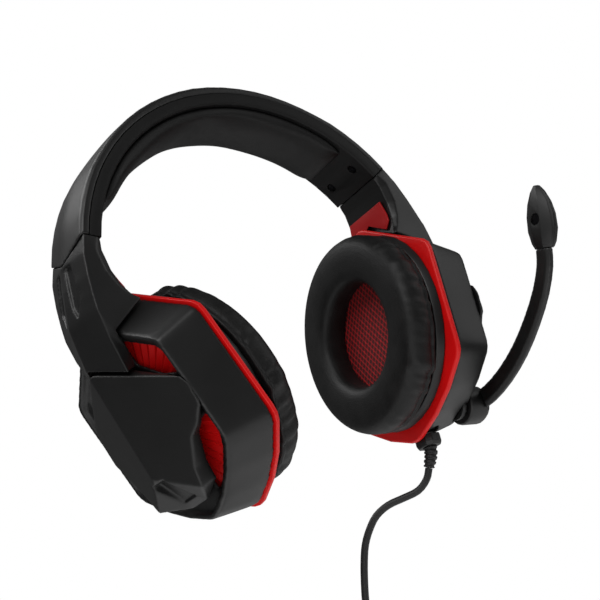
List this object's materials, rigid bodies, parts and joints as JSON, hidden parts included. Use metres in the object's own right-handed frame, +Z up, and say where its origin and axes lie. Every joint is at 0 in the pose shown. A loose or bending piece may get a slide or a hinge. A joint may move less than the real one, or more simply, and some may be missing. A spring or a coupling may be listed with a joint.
{
  "type": "gaming headset",
  "caption": "Over-ear gaming headset: padded headband with sliding arms, hexagonal ear cups with red trim and oval cushions, a boom microphone and a cable to a jack plug.",
  "frame": {"origin": "middle of the head pad's underside, where it rests on the crown of the head", "axes": "+Z up, -Y the way the wearer faces, +X the wearer's left"},
  "size_m": [0.2116, 0.1524, 0.3439],
  "materials": {
    "black_plastic": "satin",
    "plate_plastic": "matt",
    "red_plastic": "satin",
    "trim_plastic": "gloss",
    "leatherette": "soft sheen",
    "net": "woven",
    "steel": "bright",
    "film": "clear film",
    "rubber": "matt",
    "gold": "plated"
  },
  "bodies": {
    "headband": {"headband_outer_cover": "black_plastic", "headband_inner_cover": "black_plastic", "headband_spring": "steel", "headband_pad": "leatherette", "left_front_band_screw": "steel", "left_back_band_screw": "steel", "right_front_band_screw": "steel", "right_back_band_screw": "steel"},
    "left_arm_body": {"left_arm": "black_plastic", "left_slider": "steel", "left_arm_insert": "red_plastic"},
    "right_arm_body": {"right_arm": "black_plastic", "right_slider": "steel", "right_arm_insert": "red_plastic"},
    "left_cup": {"left_outer_shell": "black_plastic", "left_outer_plate": "plate_plastic", "left_grille": "red_plastic", "left_trim_ring": "trim_plastic", "left_baffle": "black_plastic", "left_ear_cushion": "leatherette", "left_speaker_cloth": "net", "left_driver_frame": "black_plastic", "left_driver_magnet": "steel", "left_diaphragm": "film", "left_hinge_bracket": "black_plastic", "left_hinge_pin": "steel", "mic_socket": "black_plastic", "cable_collar": "black_plastic", "cable_boot": "rubber", "cable_lead": "rubber", "cable_coil": "rubber", "coil_tie": "rubber", "plug_body": "black_plastic", "jack_pin": "gold"},
    "right_cup": {"right_outer_shell": "black_plastic", "right_outer_plate": "plate_plastic", "right_grille": "red_plastic", "right_trim_ring": "trim_plastic", "right_baffle": "black_plastic", "right_ear_cushion": "leatherette", "right_speaker_cloth": "net", "right_driver_frame": "black_plastic", "right_driver_magnet": "steel", "right_diaphragm": "film", "right_hinge_bracket": "black_plastic", "right_hinge_pin": "steel"},
    "mic": {"mic_hub": "black_plastic", "mic_pivot_screw": "black_plastic", "mic_boom": "black_plastic", "mic_head_shell": "black_plastic", "mic_head_face": "plate_plastic", "mic_capsule": "steel"}
  },
  "joints": [
    {"name": "left_slide", "type": "slide", "parent": "headband", "child": "left_arm_body", "axis": [0.5282, 0, -0.8491], "range_m": [0, 0.018]},
    {"name": "right_slide", "type": "slide", "parent": "headband", "child": "right_arm_body", "axis": [-0.5282, 0, -0.8491], "range_m": [0, 0.018]},
    {"name": "left_tilt", "type": "hinge", "parent": "left_arm_body", "child": "left_cup", "pos_m": [0.09597, 0.003, -0.09116], "axis": [0, -1, 0], "range_deg": [0, 8]},
    {"name": "right_tilt", "type": "hinge", "parent": "right_arm_body", "child": "right_cup", "pos_m": [-0.09597, 0.003, -0.09116], "axis": [0, 1, 0], "range_deg": [0, 8]},
    {"name": "mic_swing", "type": "hinge", "parent": "left_cup", "child": "mic", "pos_m": [0.07704, -0.005, -0.16992], "axis": [0.9732, 0, -0.23], "range_deg": [-15, 70]}
  ]
}
